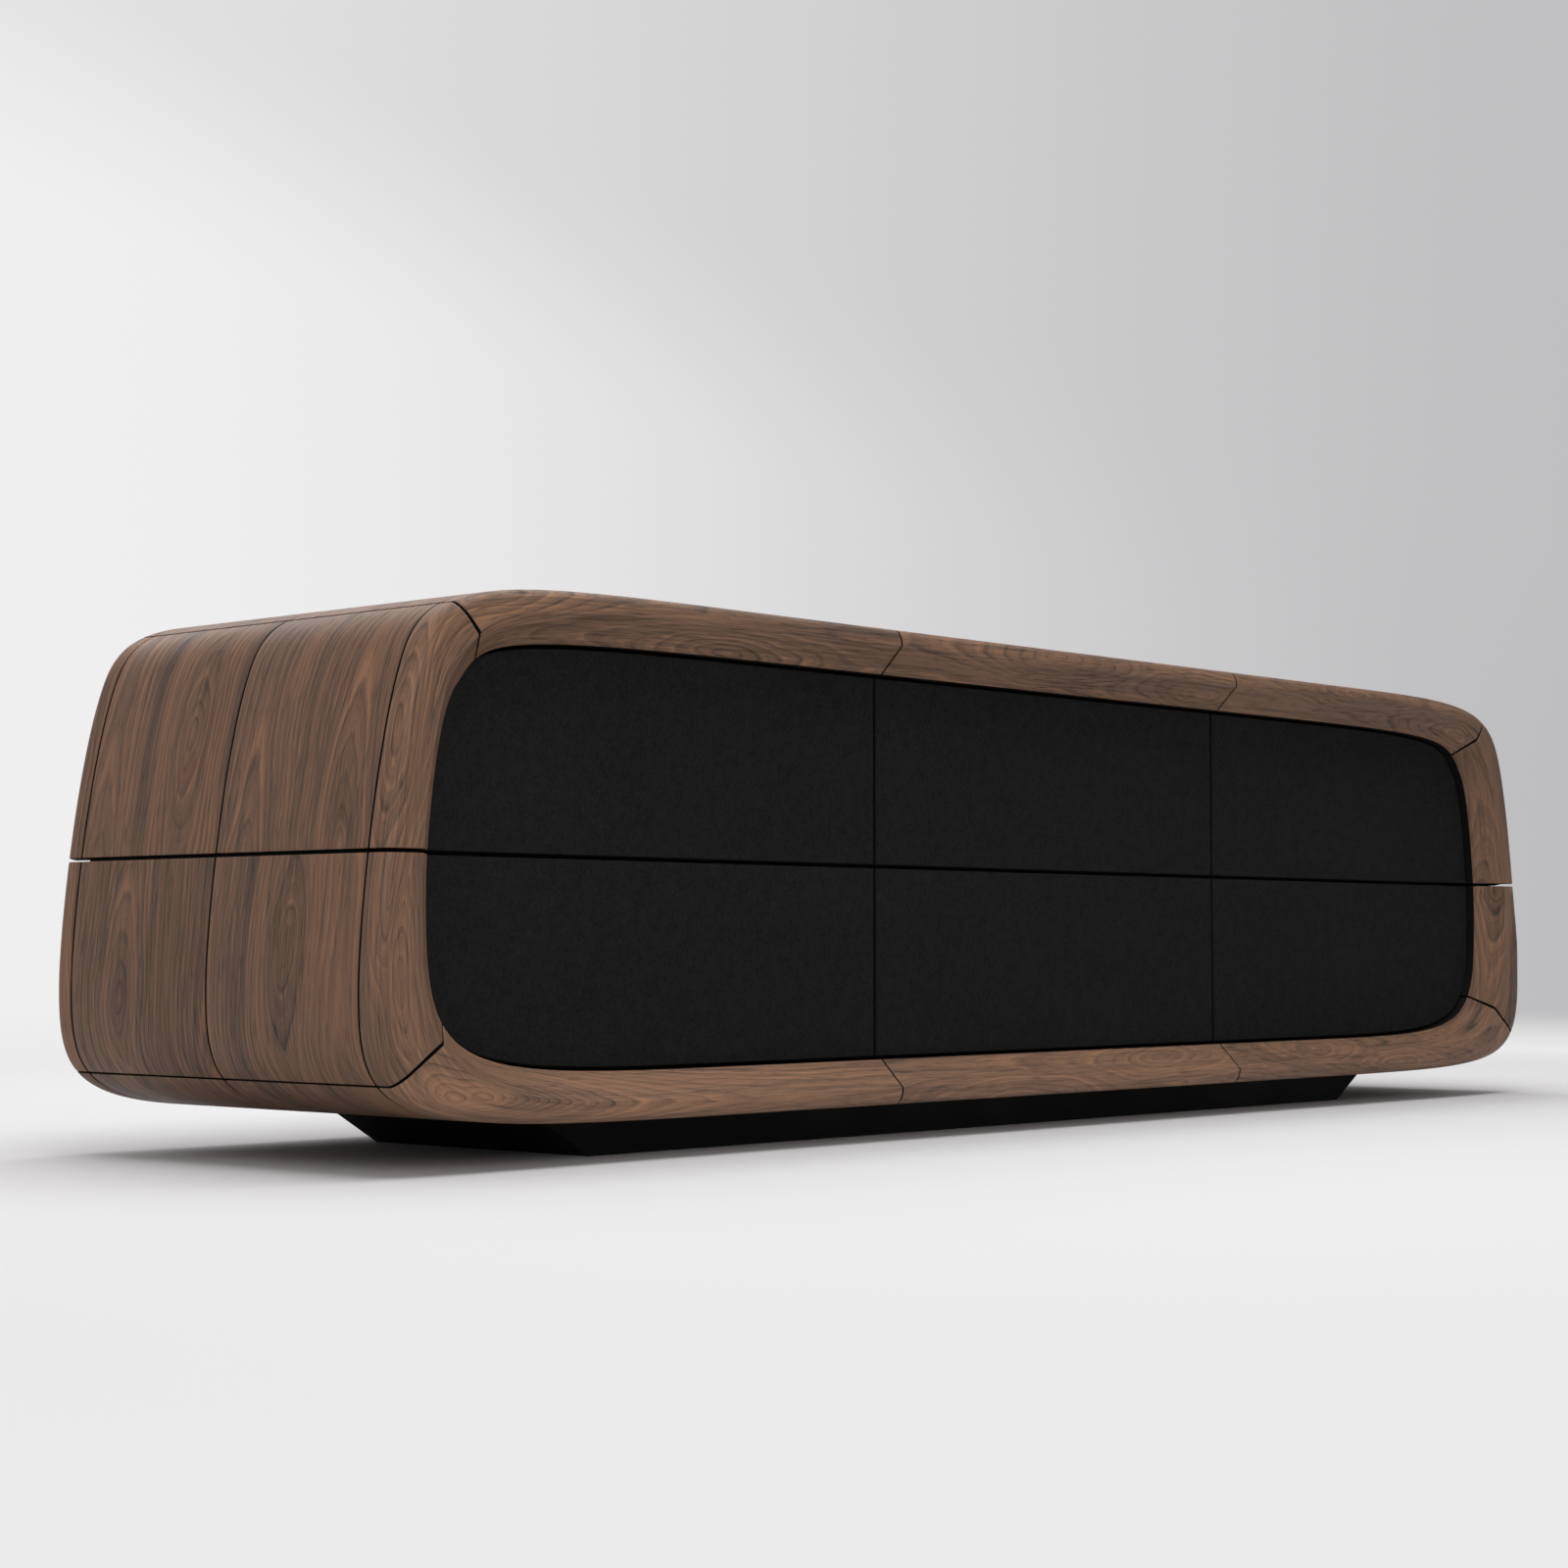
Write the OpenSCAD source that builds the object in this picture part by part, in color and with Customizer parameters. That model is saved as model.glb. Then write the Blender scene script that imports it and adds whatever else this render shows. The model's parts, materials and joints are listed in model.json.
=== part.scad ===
// Low walnut sideboard: a rounded, slightly leaning shell around six push-to-open drawers.
// The front faces -Y, X runs along the length, Z is up and the origin is on the floor under
// the middle of the body. Outlines are drawn in the XZ plane about the gap between the two
// rows of drawers, for the right-hand half, and the left-hand half is their mirror image.

/* [Body] */
// Overall length, at the widest height of the ends
body_length = 2209; // [2190:1:2230]
// Height of the wooden shell, without the floor gap
body_height = 532; // [530:1:536]
// Overall depth, front ridge to back
body_depth = 518; // [510:1:560]
// Distance between the floor and the shell's underside
floor_gap = 41; // [38:1:60]
// Thickness of the veneered outer panels
panel_t = 18; // [12:1:19]
// Width of the open seams between neighbouring wooden pieces
seam = 3; // [2:0.5:4]
// Gap between the upper and the lower half, at the front and around the ends
middle_gap = 4; // [3:0.5:6]

/* [Frame] */
// Width of the top and bottom rails of the frame, seen from the front
rail_face = 49; // [46:1:52]
// Width of the frame at the ends, seen from the front
end_face = 84.5; // [84:0.5:92]
// Width of the sloping inner face, measured outwards from the opening
slope_w = 30; // [20:1:34]
// Depth of the sloping inner face
slope_d = 30; // [20:1:34]
// Depth of the rounding on the front outer edge
front_round_d = 11; // [6:1:16]
// Width of the rounding on the front outer edge
front_round_w = 25; // [16:1:30]
// Radius of the rounding on the rear outer edge
rear_round = 16; // [8:1:18]
// Distance from the front ridge to the seam behind the front frame
front_frame_d = 26; // [24:1:34]
// Distance from the back to the seam in front of the rear frame
rear_frame_d = 34; // [30:1:40]

/* [Drawers] */
// Distance between the two vertical gaps in the front
column_pitch = 683.5; // [670:0.5:700]
// Gap between neighbouring drawer fronts
front_gap = 4; // [3:0.5:6]
// Gap between the drawer fronts and the frame
frame_clearance = 3; // [2:0.5:4]
// Thickness of a drawer front
front_t = 19; // [16:1:22]
// Distance of the drawer fronts behind the front ridge
front_recess = 40.5; // [36:0.5:50]
// Length of a drawer box
box_length = 379; // [360:1:385]
// Height of a drawer box
box_height = 158; // [120:1:160]
// Thickness of the drawer box's sides
box_t = 12; // [10:1:15]

/* [Carcass] */
// Thickness of the partitions, the side boards and the shelf
board_t = 16; // [15:1:19]
// Outer face of the side boards, from the middle
side_board_x = 960; // [950:1:965]
// Space for a runner between a board and a drawer box
runner_w = 13; // [12.5:0.1:13.5]
// Length of the runners
runner_length = 350; // [300:10:350]

/* [Plinth] */
// Half of the plinth's length at the floor
plinth_half_length = 737; // [700:1:760]
// Slope of the plinth's ends: how far they lean out for each millimetre of height
plinth_slope = 1.67; // [0:0.01:1.8]
// Depth of the plinth
plinth_depth = 338; // [320:1:380]
// Distance of the plinth's front behind the front ridge
plinth_setback = 96; // [80:1:110]

/* [Hidden] */

walnut = "#6f5140";
black_cloth = "#1b1b1c";
black_board = "#18181a";
drawer_wood = "#a98c6c";
zinc = "#9a9c9e";

half_l = body_length / 2;
half_h = body_height / 2;
middle_z = floor_gap + half_h;
front_y = -body_depth / 2;
back_y = body_depth / 2;

// Depth stations, from front to back
slope_y = front_y + slope_d;
front_seam_y = front_y + front_frame_d;
front_face_y = front_y + front_recess;
front_back_y = front_face_y + front_t;
carcass_front_y = front_back_y + 5.5;
rear_seam_y = back_y - rear_frame_d;
carcass_back_y = back_y - 53;
back_panel_t = 6;
panel_split_y = (front_seam_y + rear_seam_y) / 2 + 4;

// Outlines: straight along the top and bottom as far as the shoulder, then one curve round
// the top corner, one down the side to the widest height, and one round the bottom corner.
// Each holds [half length, half height, widest height, top corner's end measured in from the
// box's corner, lean there, and the six handle lengths in the order in which they are met].
shoulder_x = 550;
shell = [half_l, half_h, -128, [54.5, 69.5], 24.3, [370, 80, 80, 65, 140, 516]];
opening = [half_l - end_face, half_h - rail_face, -30, [36, 56], 39, [410, 60, 43, 22, 190, 452]];

// Heights of the corner mitres on the opening's edge, on the ridge and on the shell
mitre_top = [189, 211, 240];
mitre_bottom = [-164, -181, -221];

tongue_w = panel_t + 2;     // how far the frame's tongue stays inside the shell
core_inset = panel_t + 0.3; // inner boards and formers stop this far inside the shell
inner_half_h = half_h - rail_face + 5;
glue_line = 0.2;
cell_side_x = side_board_x - board_t;
partition_x = column_pitch / 2;

function bezier(p, t) =
    pow(1 - t, 3) * p[0] + 3 * pow(1 - t, 2) * t * p[1] + 3 * (1 - t) * t * t * p[2] + t * t * t * p[3];

// A point of an outline: s runs from -1 at the top's middle, through 0 at the shoulder, 1 at
// the top corner's end, 2 at the widest height and 3 at the lower shoulder, to 4.
function on(o, s) =
    let (w = o[0], h = o[1], corner = [w - o[3][0], h - o[3][1]], lean = [sin(o[4]), -cos(o[4])], a = o[5])
    s < 0 ? [shoulder_x * (s + 1), h] :
    s < 1 ? bezier([[shoulder_x, h], [shoulder_x + a[0], h], corner - a[1] * lean, corner], s) :
    s < 2 ? bezier([corner, corner + a[2] * lean, [w, o[2] + a[3]], [w, o[2]]], s - 1) :
    s < 3 ? bezier([[w, o[2]], [w, o[2] - a[4]], [shoulder_x + a[5], -h], [shoulder_x, -h]], s - 2) :
    [shoulder_x * (4 - s), -h];

step = 0.001;
function travel(o, s) = (on(o, s + step) - on(o, s - step)) / (2 * step);
function outward(o, s) = let (v = travel(o, s)) [-v[1], v[0]] / norm(v);
function beside(o, s, d) = on(o, s) + d * outward(o, s);

// Where an outline, moved outwards by d, passes height z
function s_at(o, d, z, low = 0, high = 3, turns = 26) =
    let (m = (low + high) / 2)
    turns == 0 ? m :
    beside(o, m, d)[1] > z ? s_at(o, d, z, m, high, turns - 1) : s_at(o, d, z, low, m, turns - 1);

// A cut across the frame is its place on the opening, the ridge and the shell
function cut_at_heights(z) =
    [s_at(opening, 0, z[0]), s_at(opening, slope_w, z[1]), s_at(shell, 0, z[2])];
function cut_at_height(z) = cut_at_heights([z, z, z]);
function top_cut(x) = let (s = x / shoulder_x - 1) [s, s, s];
function bottom_cut(x) = let (s = 4 - x / shoulder_x) [s, s, s];
function moved(cut, d) = [
    cut[0] + d / norm(travel(opening, cut[0])),
    cut[1] + d / norm(travel(opening, cut[1])),
    cut[2] + d / norm(travel(shell, cut[2])),
];
function from_to(a, b, n) = [for (i = [0 : n]) a + (b - a) * i / n];

top_mitre = cut_at_heights(mitre_top);
bottom_mitre = cut_at_heights(mitre_bottom);
above_gap = cut_at_height(middle_gap / 2);
below_gap = cut_at_height(-middle_gap / 2);

// Sections of the frames at a cut, as points [x, y, z]
function at(p, y) = [p[0], y, p[1] + middle_z];
round_steps = [0 : 15 : 90];
function front_section(c) =
    let (
        edge = on(shell, c[2]),
        ridge = beside(opening, c[1], slope_w),
        land = norm(ridge - edge),
        inward = (ridge - edge) / land,
        w = min(front_round_w, land)
    )
    concat(
        [at(on(opening, c[0]), slope_y), at(ridge, front_y)],
        [for (a = round_steps)
            at(edge + w * (1 - sin(a)) * inward, front_y + front_round_d * (1 - cos(a)))],
        [
            at(edge, front_seam_y),
            at(beside(shell, c[2], -tongue_w), front_seam_y),
            at(beside(shell, c[2], -tongue_w), carcass_front_y - glue_line),
            at(on(opening, c[0]), carcass_front_y - glue_line),
        ]
    );
function rear_section(c) = concat(
    [at(on(opening, c[0]), carcass_back_y + back_panel_t), at(on(opening, c[0]), back_y - 3),
        at(beside(opening, c[0], 3), back_y)],
    [for (a = round_steps)
        at(beside(shell, c[2], -rear_round * (1 - sin(a))), back_y - rear_round * (1 - cos(a)))],
    [
        at(on(shell, c[2]), rear_seam_y + seam),
        at(beside(shell, c[2], -tongue_w), rear_seam_y + seam),
        at(beside(shell, c[2], -tongue_w), carcass_back_y + back_panel_t),
    ]
);

// One piece of a frame: its section carried from cut to cut. hub is the section's inward corner.
module frame_piece(sections, hub, flip = false) {
    n = len(sections);
    m = len(sections[0]);
    points = [for (section = sections) each section];
    sides = [for (i = [0 : n - 2], j = [0 : m - 1])
        let (a = i * m + j, b = i * m + (j + 1) % m)
        each [[a, b, b + m], [a, b + m, a + m]]];
    ends = [for (j = [1 : m - 2])
        let (b = (hub + j) % m, c = (hub + j + 1) % m, last = (n - 1) * m)
        each [[hub, c, b], [last + hub, last + b, last + c]]];
    faces = concat(sides, ends);
    polyhedron(points, flip ? [for (f = faces) [f[2], f[1], f[0]]] : faces, convexity = 6);
}

module front_piece(a, b, n) {
    frame_piece([for (c = from_to(a, b, n)) front_section(c)], 10);
}

module rear_piece(a, b, n) {
    frame_piece([for (c = from_to(a, b, n)) rear_section(c)], 11, flip = true);
}

// An outline in the XZ plane, about the middle gap, as a board from y0 to y1
module board_from_outline(points, y0, y1) {
    translate([0, y1, middle_z]) rotate([90, 0, 0]) linear_extrude(y1 - y0) polygon(points);
}

module block(low, high) {
    translate(low) cube(high - low);
}

module to_side(side) {
    if (side < 0) mirror([1, 0, 0]) children();
    else children();
}

// Curved panel bent over the shell, between two places on its outline
module shell_panel(s0, s1, n, y0, y1) {
    places = [for (i = [0 : n]) s0 + (s1 - s0) * i / n];
    board_from_outline(
        concat(
            [for (s = places) on(shell, s)],
            [for (i = [n : -1 : 0]) beside(shell, places[i], -panel_t)]
        ), y0, y1);
}

// The two rows of panels, in front of and behind the seam in the middle of the depth
module panel_rows(s0, s1, n) {
    shell_panel(s0, s1, n, front_seam_y + seam, panel_split_y - seam / 2);
    shell_panel(s0, s1, n, panel_split_y + seam / 2, rear_seam_y);
}

seam_x = partition_x + seam / 2;

module plinth() {
    z1 = floor_gap - glue_line;
    y0 = front_y + plinth_setback;
    y1 = y0 + plinth_depth;
    lean = plinth_slope * z1;
    x0 = plinth_half_length;
    color(black_board) {
        for (y = [y0, y1 - board_t])
            translate([0, y + board_t, 0]) rotate([90, 0, 0]) linear_extrude(board_t)
                polygon([[-x0, 0], [x0, 0], [x0 + lean, z1], [-x0 - lean, z1]]);
        for (side = [-1, 1]) to_side(side)
            translate([0, y1 - board_t - glue_line, 0]) rotate([90, 0, 0])
                linear_extrude(plinth_depth - 2 * (board_t + glue_line))
                    polygon([[x0 - 2 * board_t, 0], [x0, 0], [x0 + lean, z1], [x0 + lean - 2 * board_t, z1]]);
        for (x = [-x0 / 2, x0 / 2])
            block([x - board_t / 2, y0 + board_t + glue_line, 3],
                [x + board_t / 2, y1 - board_t - glue_line, z1]);
    }
}

module levelling_feet() {
    pad_r = 20;
    stem_r = 5;
    color(zinc)
        for (x = [-1, 0, 1], y = [0, 1])
            translate([x * (plinth_half_length - 80),
                front_y + plinth_setback + 60 + y * (plinth_depth - 120), 0])
                rotate_extrude($fn = 48)
                    polygon([[0, 0], [pad_r, 0], [pad_r, 3], [stem_r + 4, 7], [stem_r, 7],
                        [stem_r, floor_gap - glue_line], [0, floor_gap - glue_line]]);
}

// Top and base boards: flat towards the drawers, shaped to the shell on the outside
function core_board(upper) =
    let (
        tip = s_at(shell, -core_inset, upper ? inner_half_h + 15 : -inner_half_h - 15,
            upper ? 0 : 2, upper ? 1 : 3),
        flat = upper ? 0 : 3,
        z = upper ? inner_half_h : -inner_half_h,
        curve = [for (i = [0 : 8]) beside(shell, flat + (tip - flat) * i / 8, -core_inset)],
        right = concat(curve, [[curve[8][0], z]])
    )
    concat(right, [for (i = [len(right) - 1 : -1 : 0]) [-right[i][0], right[i][1]]]);

module core_board(upper) {
    color(black_board) board_from_outline(core_board(upper), carcass_front_y, carcass_back_y);
}

module side_board(side) {
    color(black_board) to_side(side)
        block([cell_side_x, carcass_front_y, middle_z - inner_half_h],
            [side_board_x, carcass_back_y, middle_z + inner_half_h]);
}

module partition(side) {
    color(black_board) to_side(side)
        block([partition_x - board_t / 2, carcass_front_y, middle_z - inner_half_h],
            [partition_x + board_t / 2, carcass_back_y, middle_z + inner_half_h]);
}

module middle_shelves() {
    inside = partition_x - board_t / 2 - glue_line;
    outside = partition_x + board_t / 2 + glue_line;
    color(black_board) {
        block([-inside, carcass_front_y, middle_z - board_t / 2],
            [inside, carcass_back_y, middle_z + board_t / 2]);
        for (side = [-1, 1]) to_side(side)
            block([outside, carcass_front_y, middle_z - board_t / 2],
                [cell_side_x - glue_line, carcass_back_y, middle_z + board_t / 2]);
    }
}

// Back panel, rebated behind the rear frame and 8 mm larger than its opening
module back_panel() {
    right = [for (s = from_to(0, 3, 45)) beside(opening, s, 8)];
    color(black_board)
        board_from_outline(
            concat(right, [for (i = [len(right) - 1 : -1 : 0]) [-right[i][0], right[i][1]]]),
            carcass_back_y + 0.1, carcass_back_y + back_panel_t - 0.1);
}

// Three upright formers at each end, between the side board and the curved panels
module end_formers(side) {
    s0 = s_at(shell, -core_inset, inner_half_h);
    s1 = s_at(shell, -core_inset, -inner_half_h);
    x0 = side_board_x + glue_line;
    curve = [for (s = from_to(s0, s1, 24)) beside(shell, s, -core_inset)];
    color(black_board) to_side(side)
        for (y = [carcass_front_y, panel_split_y - board_t / 2, carcass_back_y - board_t])
            board_from_outline(concat([[x0, inner_half_h]], curve, [[x0, -inner_half_h]]), y, y + board_t);
}

// Black strip that fills the middle gap at each end, set back from the shell's surface. It
// stops at both frames, where the gap is open.
module gap_strip(side) {
    reveal = 10;
    play = 0.1;
    s0 = moved(above_gap, play)[2];
    s1 = moved(below_gap, -play)[2];
    depths = [-reveal, -panel_t + play];
    color(black_board) to_side(side)
        board_from_outline(
            concat([for (d = depths) beside(shell, s0, d)], [for (i = [1, 0]) beside(shell, s1, depths[i])]),
            front_seam_y + 12, rear_seam_y);
}

// Front frame: three rails above, three below and two uprights at each end
module front_rail_top(side) {
    color(walnut) to_side(side) front_piece(top_cut(seam_x), moved(top_mitre, -seam / 2), 24);
}

module front_rail_bottom(side) {
    color(walnut) to_side(side) front_piece(moved(bottom_mitre, seam / 2), bottom_cut(seam_x), 24);
}

module front_rail_centre(upper) {
    x = partition_x - seam / 2;
    color(walnut)
        if (upper) front_piece(top_cut(-x), top_cut(x), 1);
        else front_piece(bottom_cut(x), bottom_cut(-x), 1);
}

module front_upright_upper(side) {
    color(walnut) to_side(side) front_piece(moved(top_mitre, seam / 2), above_gap, 14);
}

module front_upright_lower(side) {
    color(walnut) to_side(side) front_piece(below_gap, moved(bottom_mitre, -seam / 2), 16);
}

// Rear frame, with its seams in line with the front's
module rear_rail(upper) {
    x = partition_x - seam / 2;
    color(walnut) {
        if (upper) rear_piece(top_cut(-x), top_cut(x), 1);
        else rear_piece(bottom_cut(x), bottom_cut(-x), 1);
        for (side = [-1, 1]) to_side(side)
            if (upper) rear_piece(top_cut(seam_x), moved(top_mitre, -seam / 2), 20);
            else rear_piece(moved(bottom_mitre, seam / 2), bottom_cut(seam_x), 20);
    }
}

module rear_uprights(side) {
    color(walnut) to_side(side) {
        rear_piece(moved(top_mitre, seam / 2), above_gap, 12);
        rear_piece(below_gap, moved(bottom_mitre, -seam / 2), 14);
    }
}

// Outer panels between the two frames
module end_panels_upper(side) {
    color(walnut) to_side(side) panel_rows(moved(top_mitre, seam / 2)[2], above_gap[2], 16);
}

module end_panels_lower(side) {
    color(walnut) to_side(side) panel_rows(below_gap[2], moved(bottom_mitre, -seam / 2)[2], 18);
}

module centre_panels(z) {
    x = partition_x - seam / 2;
    block([-x, front_seam_y + seam, z], [x, panel_split_y - seam / 2, z + panel_t]);
    block([-x, panel_split_y + seam / 2, z], [x, rear_seam_y, z + panel_t]);
}

module top_panels() {
    color(walnut) {
        centre_panels(middle_z + half_h - panel_t);
        for (side = [-1, 1]) to_side(side)
            panel_rows(top_cut(seam_x)[2], moved(top_mitre, -seam / 2)[2], 22);
    }
}

module bottom_panels() {
    color(walnut) {
        centre_panels(middle_z - half_h);
        for (side = [-1, 1]) to_side(side)
            panel_rows(moved(bottom_mitre, seam / 2)[2], bottom_cut(seam_x)[2], 22);
    }
}

// Drawers: column is -1, 0 or 1 from left to right, row is 1 above and -1 below
wall_x = partition_x + board_t / 2;
box_x0 = wall_x + runner_w;
box_x1 = cell_side_x - runner_w;
centre_box_x = partition_x - board_t / 2 - runner_w;
function box_z(row) = middle_z + (row > 0 ? 24 : -30 - box_height);
runner_y0 = carcass_front_y + 4;

module drawer_front(column, row) {
    low = front_gap / 2;
    high = half_h - rail_face - frame_clearance;
    x0 = partition_x + front_gap / 2;
    from = row > 0 ? x0 / shoulder_x - 1 : s_at(opening, -frame_clearance, -low);
    to = row > 0 ? s_at(opening, -frame_clearance, low) : 4 - x0 / shoulder_x;
    curve = [for (s = from_to(from, to, 30)) beside(opening, s, -frame_clearance)];
    color(black_cloth)
        if (column == 0)
            block([-partition_x + low, front_face_y, middle_z + (row > 0 ? low : -high)],
                [partition_x - low, front_back_y, middle_z + (row > 0 ? high : -low)]);
        else to_side(column)
            board_from_outline(concat(curve, [[x0, row * low]]), front_face_y, front_back_y);
}

// Box of five boards: sides, front and back, and a bottom let in between them
module box_boards(x0, x1, z) {
    y0 = front_back_y + glue_line;
    y1 = y0 + box_length;
    z1 = z + box_height;
    block([x0, y0, z], [x0 + box_t, y1, z1]);
    block([x1 - box_t, y0, z], [x1, y1, z1]);
    block([x0 + box_t + glue_line, y0, z], [x1 - box_t - glue_line, y0 + box_t, z1]);
    block([x0 + box_t + glue_line, y1 - box_t, z], [x1 - box_t - glue_line, y1, z1]);
    block([x0 + box_t + glue_line, y0 + box_t + glue_line, z + 6],
        [x1 - box_t - glue_line, y1 - box_t - glue_line, z + 14]);
}

module drawer_box(column, row) {
    color(drawer_wood)
        if (column == 0) box_boards(-centre_box_x, centre_box_x, box_z(row));
        else to_side(column) box_boards(box_x0, box_x1, box_z(row));
}

// Runner members are channels: web is the flat side's x, toes the flanges' free ends
module channel(web, toes, half_height, z) {
    wall = 1.5;
    x0 = min(web, toes);
    x1 = max(web, toes);
    web_x = web < toes ? web : web - wall;
    for (zz = [z - half_height, z + half_height - wall])
        block([x0, runner_y0, zz], [x1, runner_y0 + runner_length, zz + wall]);
    block([web_x, runner_y0, z - half_height], [web_x + wall, runner_y0 + runner_length, z + half_height]);
}

// The runners of one drawer, one member of each pair: 0 on the carcass, 1 between, 2 on the box
module runner_pair(column, row, member) {
    z = box_z(row) + 60;
    reach = [[0, 10], [3, 11], [runner_w, 6]][member];
    half_height = [22.5, 18.5, 14.5][member];
    if (column == 0)
        for (side = [-1, 1]) to_side(side)
            channel(centre_box_x + runner_w - reach[0], centre_box_x + runner_w - reach[1], half_height, z);
    else to_side(column) {
        channel(wall_x + reach[0], wall_x + reach[1], half_height, z);
        channel(cell_side_x - reach[0], cell_side_x - reach[1], half_height, z);
    }
}

module cabinet_rails() {
    color(zinc)
        for (column = [-1 : 1], row = [-1, 1]) runner_pair(column, row, 0);
}

module middle_rails(column, row) {
    color(zinc) runner_pair(column, row, 1);
}

module drawer_rails(column, row) {
    color(zinc) runner_pair(column, row, 2);
}

plinth();
levelling_feet();
core_board(false);  // base_board
core_board(true);  // top_board
side_board(-1);  // side_board_left
side_board(1);  // side_board_right
partition(-1);  // partition_left
partition(1);  // partition_right
middle_shelves();
back_panel();
end_formers(-1);  // end_formers_left
end_formers(1);  // end_formers_right
gap_strip(-1);  // gap_strip_left
gap_strip(1);  // gap_strip_right
front_rail_top(-1);  // front_rail_top_left
front_rail_centre(true);  // front_rail_top_centre
front_rail_top(1);  // front_rail_top_right
front_rail_bottom(-1);  // front_rail_bottom_left
front_rail_centre(false);  // front_rail_bottom_centre
front_rail_bottom(1);  // front_rail_bottom_right
front_upright_upper(-1);  // front_upright_upper_left
front_upright_lower(-1);  // front_upright_lower_left
front_upright_upper(1);  // front_upright_upper_right
front_upright_lower(1);  // front_upright_lower_right
rear_rail(true);  // rear_rail_top
rear_rail(false);  // rear_rail_bottom
rear_uprights(-1);  // rear_uprights_left
rear_uprights(1);  // rear_uprights_right
top_panels();
bottom_panels();
end_panels_upper(-1);  // end_panels_upper_left
end_panels_lower(-1);  // end_panels_lower_left
end_panels_upper(1);  // end_panels_upper_right
end_panels_lower(1);  // end_panels_lower_right
cabinet_rails();
drawer_front(-1, 1);  // drawer_front_upper_left
drawer_front(0, 1);  // drawer_front_upper_centre
drawer_front(1, 1);  // drawer_front_upper_right
drawer_front(-1, -1);  // drawer_front_lower_left
drawer_front(0, -1);  // drawer_front_lower_centre
drawer_front(1, -1);  // drawer_front_lower_right
drawer_box(-1, 1);  // drawer_box_upper_left
drawer_box(0, 1);  // drawer_box_upper_centre
drawer_box(1, 1);  // drawer_box_upper_right
drawer_box(-1, -1);  // drawer_box_lower_left
drawer_box(0, -1);  // drawer_box_lower_centre
drawer_box(1, -1);  // drawer_box_lower_right
drawer_rails(-1, 1);  // drawer_rails_upper_left
drawer_rails(0, 1);  // drawer_rails_upper_centre
drawer_rails(1, 1);  // drawer_rails_upper_right
drawer_rails(-1, -1);  // drawer_rails_lower_left
drawer_rails(0, -1);  // drawer_rails_lower_centre
drawer_rails(1, -1);  // drawer_rails_lower_right
middle_rails(-1, 1);  // middle_rails_upper_left
middle_rails(0, 1);  // middle_rails_upper_centre
middle_rails(1, 1);  // middle_rails_upper_right
middle_rails(-1, -1);  // middle_rails_lower_left
middle_rails(0, -1);  // middle_rails_lower_centre
middle_rails(1, -1);  // middle_rails_lower_right
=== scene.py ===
import json
import math
import bpy
import numpy as np
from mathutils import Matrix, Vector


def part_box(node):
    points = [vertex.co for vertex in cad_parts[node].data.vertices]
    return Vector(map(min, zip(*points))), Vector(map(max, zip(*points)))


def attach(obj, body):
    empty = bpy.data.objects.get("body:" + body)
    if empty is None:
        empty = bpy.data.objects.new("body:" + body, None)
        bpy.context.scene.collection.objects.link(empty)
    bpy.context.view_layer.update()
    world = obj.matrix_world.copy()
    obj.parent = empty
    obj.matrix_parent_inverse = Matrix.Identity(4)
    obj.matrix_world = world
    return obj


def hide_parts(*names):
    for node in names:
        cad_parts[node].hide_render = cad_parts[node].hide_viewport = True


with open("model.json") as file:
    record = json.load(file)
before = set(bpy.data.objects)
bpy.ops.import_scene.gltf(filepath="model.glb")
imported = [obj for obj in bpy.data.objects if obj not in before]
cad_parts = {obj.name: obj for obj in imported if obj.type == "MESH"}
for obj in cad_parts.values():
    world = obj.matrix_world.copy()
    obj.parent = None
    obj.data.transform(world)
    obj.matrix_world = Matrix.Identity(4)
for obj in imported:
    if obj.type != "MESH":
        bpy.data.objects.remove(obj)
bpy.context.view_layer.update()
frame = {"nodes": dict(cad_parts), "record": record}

# ---------------------------------------------------------------------------------------------
# Studio: a pale floor that fades into a pale surround, one broad soft light overhead, one from
# the front left and one behind, and a low camera that looks along the front from its left end.
# ---------------------------------------------------------------------------------------------
CAMERA_PLACE = (-2.859, -2.331, 0.219)
CAMERA_TURN = math.radians(41.8)
CAMERA_TILT = math.radians(3.16)
CAMERA_LENS = 66.76

camera_data = bpy.data.cameras.new("camera")
camera_data.lens = CAMERA_LENS
camera_data.sensor_width = 36
camera_data.clip_end = 200
camera = bpy.data.objects.new("camera", camera_data)
camera.location = CAMERA_PLACE
camera.rotation_euler = (math.pi / 2 + CAMERA_TILT, 0, CAMERA_TURN - math.pi / 2)
bpy.context.scene.collection.objects.link(camera)
bpy.context.scene.camera = camera
bpy.context.scene.view_settings.view_transform = "Standard"


def new_node(tree, kind, **settings):
    """A shader node of that kind, with its properties set."""
    node = tree.nodes.new(kind)
    for name, value in settings.items():
        setattr(node, name, value)
    return node


def feed(tree, socket, value):
    """Links an output to a socket, or sets the socket's own value."""
    if isinstance(value, bpy.types.NodeSocket):
        tree.links.new(value, socket)
    elif value is not None:
        socket.default_value = value


def calc(tree, operation, *values, clamp=False):
    """The output of a Math node on up to three values or outputs."""
    node = new_node(tree, "ShaderNodeMath", operation=operation, use_clamp=clamp)
    for socket, value in zip(node.inputs, values):
        feed(tree, socket, value)
    return node.outputs[0]


def remap(tree, value, low, high, to_low=0.0, to_high=1.0, smooth=True):
    """Carries the range low..high to to_low..to_high, held flat outside it."""
    node = new_node(tree, "ShaderNodeMapRange", interpolation_type="SMOOTHSTEP" if smooth else "LINEAR")
    for socket, number in zip(node.inputs, (value, low, high, to_low, to_high)):
        feed(tree, socket, number)
    return node.outputs[0]


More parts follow.
